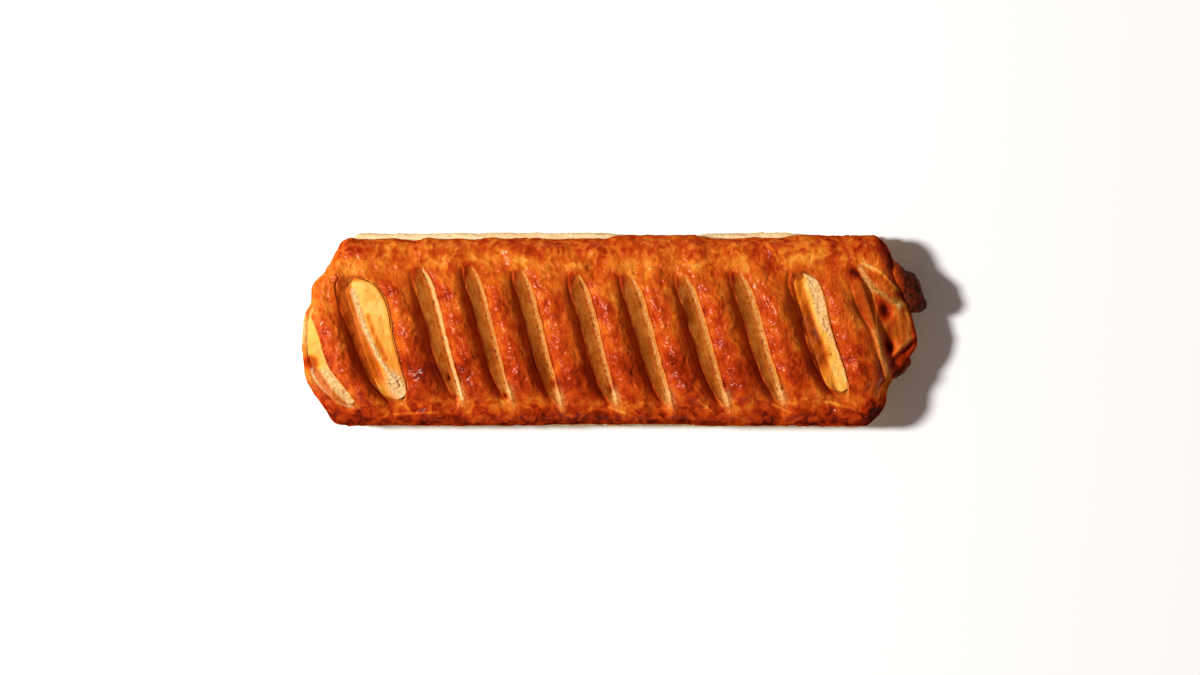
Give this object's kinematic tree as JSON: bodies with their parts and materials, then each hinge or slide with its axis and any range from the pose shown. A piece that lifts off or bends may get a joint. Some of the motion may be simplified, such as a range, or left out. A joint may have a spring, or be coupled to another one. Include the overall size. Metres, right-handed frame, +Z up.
{
  "type": "cheese puff pastry",
  "caption": "Long baked puff pastry slice with slanted slashes that open on a melted cheese filling, a glazed browned lid, a flaky base and a burnt cheese leak.",
  "frame": {"origin": "middle of the pastry's footprint, on the surface that it lies on", "axes": "+X along the pastry towards the end where the cheese ran out, +Y across it towards its wider lid margin, +Z up out of the slashed lid"},
  "size_m": [0.2002, 0.0619, 0.0247],
  "materials": {
    "pale_leaves": "matte",
    "melted_cheese": "satin",
    "glazed_crust": "satin"
  },
  "bodies": {
    "root": {"base_sheet": "pale_leaves", "cheese_filling": "melted_cheese", "slashed_lid": "glazed_crust"}
  },
  "joints": []
}
